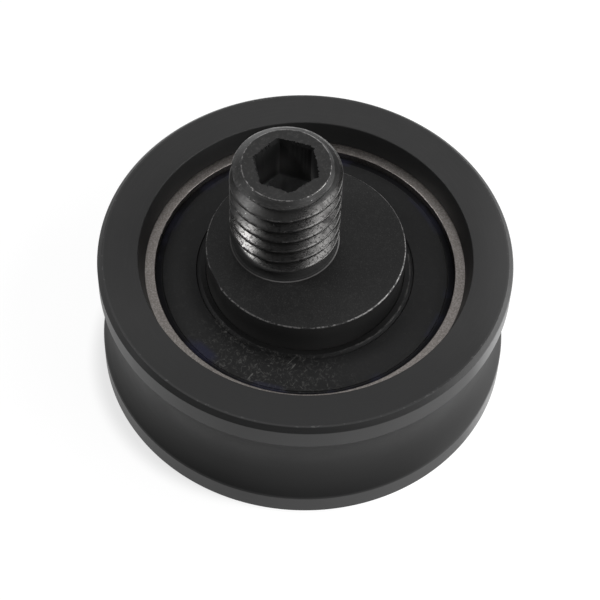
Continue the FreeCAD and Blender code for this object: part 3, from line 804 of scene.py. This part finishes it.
def make_seal(name, material, node, mirrored):
    """Seal with a bead in its seat, a dished disc and a raised lip. The rear one is mirrored."""
    bottom = SEAL_TOP_Z - SEAL_THICKNESS
    bead_top = SEAL_SEAT_Z + SEAL_BEAD_HEIGHT
    line_half = SEAL_LINE_WIDTH / 2
    section = rounded(
        [
            (SEAL_LIP_R, bottom, SEAL_ROUND),
            (OUTER_SHOULDER_R, bottom, 0),
            (OUTER_SHOULDER_R, SEAL_SEAT_Z, 0),
            (SEAL_RECESS_R, SEAL_SEAT_Z, 0),
            (SEAL_RECESS_R, bead_top, SEAL_ROUND),
            (SEAL_DISC_R, bead_top, SEAL_ROUND),
            (SEAL_DISC_R, SEAL_TOP_Z - SEAL_DISH, SEAL_ROUND),
            (SEAL_LINE_R + line_half, SEAL_TOP_Z, SEAL_ROUND / 2),
            (SEAL_LINE_R, SEAL_TOP_Z - SEAL_LINE_DEPTH, 0),
            (SEAL_LINE_R - line_half, SEAL_TOP_Z, 0),
            (SEAL_LIP_CREST_R, SEAL_LIP_TOP_Z, SEAL_ROUND),
            (SEAL_LIP_R + SEAL_LIP_BEVEL, SEAL_LIP_TOP_Z, 0),
            (SEAL_LIP_R, SEAL_LIP_TOP_Z - SEAL_LIP_BEVEL, 0),
        ]
    )
    if mirrored:
        section = [Vector((p.x, WHEEL_WIDTH - p.y)) for p in section]
    dress(lathe(name, section), "wheel", "seal_rubber", material, node)


def thread_section():
    """One pitch of the thread as pairs of height and depth, from the middle of one crest to the next."""
    crest_half = THREAD_PITCH / 2 - THREAD_ROOT_HALF - THREAD_DEPTH * THREAD_FLANK
    rising = [(0, 0), (crest_half - THREAD_BEVEL, 0)]
    for step in range(FLANK_STEPS + 1):
        depth = THREAD_BEVEL + (THREAD_DEPTH - THREAD_BEVEL) * step / FLANK_STEPS
        rising.append((crest_half + depth * THREAD_FLANK, depth))
    falling = [(THREAD_PITCH - height, depth) for height, depth in reversed(rising[1:])]
    return rising + falling


def stud_envelope(z):
    """Radius of the turned blank between the neck and the end chamfer."""
    runout = STUD_R - (COLLAR_TOP_Z + NECK_LENGTH - z) * NECK_DEPTH / NECK_RUNOUT
    chamfer = STUD_R - (z - STUD_END_Z + STUD_CHAMFER_HEIGHT) * STUD_CHAMFER / STUD_CHAMFER_HEIGHT
    return min(STUD_R, runout, chamfer)


def stud_point(angle, radius, z):
    """Point about the stud's own axis."""
    return Vector((radius * math.cos(angle) - ECCENTRICITY, radius * math.sin(angle), z))


def stud_ring(radius_at, z):
    """Ring about the stud's own axis. The radius is a number or depends on the angle."""
    if not callable(radius_at):
        return stud_ring(lambda angle: radius_at, z)
    return [stud_point(angle, radius_at(angle), z) for angle in ring_angles()]


def nick(angle, z):
    """Depth of the small dents along the thread's crests."""
    place = Vector((STUD_R * math.cos(angle), STUD_R * math.sin(angle), z)) / NICK_SPACING
    return NICK_DEPTH * max(noise.noise(place) - NICK_THRESHOLD, 0)


def thread_rows(low_z, high_z):
    """Rows of points that climb the stud along the thread, held between the two heights, and how many
    of them make one turn."""
    section = thread_section()
    crest_z = THREAD_START_Z - THREAD_PITCH * (0.5 + THREAD_START / (2 * math.pi))
    # Spare turns past both ends are held flat at the two heights
    first = math.floor((low_z - crest_z) / THREAD_PITCH) - 2
    last = math.ceil((high_z - crest_z) / THREAD_PITCH) + 1
    rows = []
    for turn in range(first, last):
        for height, depth in section:
            row = []
            for angle in ring_angles():
                z = crest_z + THREAD_PITCH * (turn + angle / (2 * math.pi)) + height
                z = min(max(z, low_z), high_z)
                radius = min(STUD_R - max(depth, nick(angle, z)), stud_envelope(z))
                row.append(stud_point(angle, radius, z))
            rows.append(row)
    return rows, len(section)


def hex_radius(angle):
    """Radius of the hexagon at an angle."""
    side = math.pi / 3
    from_flat = (angle - HEX_ANGLE) % side - side / 2
    return HEX_ACROSS_FLATS / 2 / math.cos(from_flat)


def torn_hex_radius(angle):
    """Mouth of the hexagon, torn where the broach went in."""
    around = Vector((math.cos(angle), math.sin(angle), 0.0))
    pulled = angle - HEX_TEAR_TURN * math.cos(angle - HEX_TEAR_ANGLE)
    tear = HEX_TEAR_WIDTH + HEX_TEAR_WAVE * noise.noise(around * HEX_TEAR_WAVE_SCALE)
    tear = tear + HEX_TEAR_ROUGHNESS * noise.noise(around * HEX_TEAR_ROUGH_SCALE)
    return max(hex_radius(pulled) + tear, hex_radius(angle) + HEX_TEAR_LEAST)


def collar_ring(radius, z):
    """Ring of the collar, with the small index flat taken off its rim."""
    outward = Vector((math.cos(COLLAR_FLAT_ANGLE), math.sin(COLLAR_FLAT_ANGLE), 0))
    limit = radius - COLLAR_FLAT_DEPTH
    return [p - outward * max(p.dot(outward) - limit, 0) for p in circle(radius, z)]


def make_stud(material):
    """Stud turned in one piece: spigot, collar, neck, thread and hex socket."""
    clip_z = BACK_FACE_Z - CLIP_GROOVE_WIDTH
    clip_r = BORE_R - CLIP_GROOVE_DEPTH
    skirt_r = COLLAR_R - COLLAR_SKIRT_STEP
    skirt_z = FRONT_FACE_Z - COLLAR_SKIRT
    lower = [
        circle(SPIGOT_MIDDLE_R, SPIGOT_END_Z),
        circle(BORE_R - SPIGOT_CHAMFER, SPIGOT_END_Z),
        circle(BORE_R, SPIGOT_END_Z + SPIGOT_CHAMFER),
        circle(BORE_R, clip_z),
        circle(clip_r, clip_z),
        circle(clip_r, BACK_FACE_Z),
        circle(BORE_R, BACK_FACE_Z),
        circle(BORE_R, FRONT_FACE_Z),
        circle(skirt_r, FRONT_FACE_Z),
        circle(skirt_r, skirt_z),
        circle(COLLAR_R, skirt_z),
        circle(COLLAR_R, FRONT_FACE_Z + COLLAR_FOOT),
        collar_ring(COLLAR_R, FRONT_FACE_Z + 2 * COLLAR_FOOT),
        collar_ring(COLLAR_R, COLLAR_TOP_Z - COLLAR_CHAMFER),
        collar_ring(COLLAR_R - COLLAR_CHAMFER, COLLAR_TOP_Z),
    ]
    neck_r = STUD_R - NECK_DEPTH
    for step in range(FILLET_STEPS + 1):
        turn = math.pi / 2 * step / FILLET_STEPS
        radius = neck_r + NECK_FILLET * (1 - math.sin(turn))
        lower.append(stud_ring(radius, COLLAR_TOP_Z + NECK_FILLET * (1 - math.cos(turn))))
    thread_foot_z = COLLAR_TOP_Z + NECK_LENGTH - NECK_RUNOUT
    lower.append(stud_ring(neck_r, thread_foot_z))
    rows, climb = thread_rows(thread_foot_z, STUD_END_Z)

    upper = [
        stud_ring(END_RIM_R, STUD_END_Z),
        stud_ring(END_RIM_R - HEX_TEAR_DEPTH, STUD_END_Z),
        stud_ring(torn_hex_radius, STUD_END_Z),
        stud_ring(hex_radius, STUD_END_Z - HEX_TEAR_DEPTH),
        stud_ring(hex_radius, SOCKET_FLOOR_Z),
        stud_ring(DRILL_R, SOCKET_FLOOR_Z),
        stud_ring(DRILL_TIP_SHARE * DRILL_R, SOCKET_FLOOR_Z - (1 - DRILL_TIP_SHARE) * DRILL_CONE),
    ]
    faces = [
        *end_faces(lower[0]),
        *ring_faces(lower),
        *climbing_faces(rows, climb),
        *ring_faces(upper),
        *end_faces(upper[-1]),
    ]
    dress(skin("turned_stud", faces), "stud", "black_oxide_steel", material, "eccentric_stud")


def dress_cad_nodes(materials):
    """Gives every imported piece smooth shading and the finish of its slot."""
    slots = {entry["node"]: entry["material_slot"] for entry in frame["record"]["subparts"]}
    for name, piece in frame["nodes"].items():
        piece.data.materials.clear()
        piece.data.materials.append(materials[slots[name]])
        shade_smooth(piece.data, PACKED_SHARP_ANGLE)


# Stage, light and camera


def make_floor():
    """Glowing white table, brighter to the right, with a soft shade on the left of the wheel."""
    finish = Finish("pale_floor")
    shade_x = SHADE_OFFSET * math.cos(SHADE_ANGLE)
    shade_y = SHADE_OFFSET * math.sin(SHADE_ANGLE)
    from_shade = finish.radius(shade_x, shade_y)
    brightness = finish.step(finish.along(RIGHTWARD), -5 * MM, 60 * MM, 0.92, 1.5)
    brightness = brightness * finish.step(from_shade, SHADE_R - SHADE_SOFTNESS, SHADE_R, 0.78, 1.0)
    glow = finish.mix(brightness, 0.0, 1.0)
    finish.set(Base_Color=0.12, Roughness=0.9, Emission_Color=glow, Emission_Strength=1.0)
    bpy.ops.mesh.primitive_plane_add(size=FLOOR_SIZE)
    floor = bpy.context.object
    floor.name = "floor"
    floor.data.materials.append(finish.material)


def make_softbox(name, azimuth, elevation, distance, width, height, glow):
    """Soft light of a given glow, aimed at the roller. Azimuth goes from the right towards the back."""
    light = bpy.data.lights.new(name, "AREA")
    light.shape = "RECTANGLE"
    light.size = width
    light.size_y = height
    light.energy = glow * math.pi * width * height
    lamp = bpy.data.objects.new(name, light)
    turn = VIEW_AZIMUTH + math.radians(azimuth)
    rise = math.radians(elevation)
    away = Vector((math.cos(turn) * math.cos(rise), math.sin(turn) * math.cos(rise), math.sin(rise)))
    lamp.location = away * distance
    lamp.rotation_euler = away.to_track_quat("Z", "Y").to_euler()
    bpy.context.scene.collection.objects.link(lamp)


def make_light():
    """Dim room with two softboxes, a rear panel and two pale cards."""
    world = bpy.data.worlds.new("studio")
    bpy.context.scene.world = world
    world.use_nodes = True
    background = world.node_tree.nodes["Background"]
    background.inputs["Color"].default_value = (0.95, 0.97, 1.0, 1.0)
    background.inputs["Strength"].default_value = 0.08
    make_softbox(
        "right_softbox", azimuth=-14, elevation=50, distance=0.32, width=0.3, height=0.12, glow=4.1
    )
    make_softbox(
        "left_softbox", azimuth=179, elevation=45, distance=0.7, width=0.26, height=0.16, glow=13.5
    )
    make_softbox(
        "rear_panel", azimuth=88, elevation=55, distance=0.9, width=1.0, height=0.5, glow=0.78
    )
    make_softbox(
        "low_right_card", azimuth=0, elevation=12, distance=0.5, width=0.5, height=0.2, glow=6.6
    )
    make_softbox(
        "front_right_card", azimuth=-50, elevation=35, distance=0.6, width=0.4, height=0.3, glow=0.6
    )
    bpy.context.scene.view_settings.view_transform = "Standard"


def make_camera():
    """Camera of the photograph's view, rolled a little about its own axis."""
    camera = bpy.data.cameras.new("photo_view")
    camera.sensor_fit = "HORIZONTAL"
    camera.sensor_width = SENSOR_WIDTH
    camera.lens = VIEW_LENS
    camera.clip_start = 0.01
    camera.clip_end = 10
    right = Vector((1, 0, 0))
    forward = Vector((0, math.cos(VIEW_ELEVATION), -math.sin(VIEW_ELEVATION)))
    upward = Vector((0, math.sin(VIEW_ELEVATION), math.cos(VIEW_ELEVATION)))
    across = right * math.cos(VIEW_ROLL) + upward * math.sin(VIEW_ROLL)
    up = upward * math.cos(VIEW_ROLL) - right * math.sin(VIEW_ROLL)
    turn = Matrix((across, up, -forward)).transposed().to_4x4()
    turn.translation = VIEW_AIM - forward * VIEW_DISTANCE
    holder = bpy.data.objects.new("photo_view", camera)
    holder.matrix_world = Matrix.Rotation(VIEW_AZIMUTH, 4, "Z") @ turn
    bpy.context.scene.collection.objects.link(holder)
    bpy.context.scene.camera = holder


materials = {
    "black_nylon": black_nylon(),
    "bearing_steel": ground_steel(),
    "pressed_steel": pressed_steel(),
    "seal_rubber": seal_rubber(),
    "black_oxide_steel": black_oxide(),
    "spring_steel": spring_steel(),
}
dress_cad_nodes(materials)
make_wheel(materials["black_nylon"])
make_outer_ring(materials["bearing_steel"])
make_seal("front_seal_moulding", materials["seal_rubber"], "front_seal", mirrored=False)
make_seal("rear_seal_moulding", materials["seal_rubber"], "rear_seal", mirrored=True)
make_stud(materials["black_oxide_steel"])
make_floor()
make_light()
make_camera()
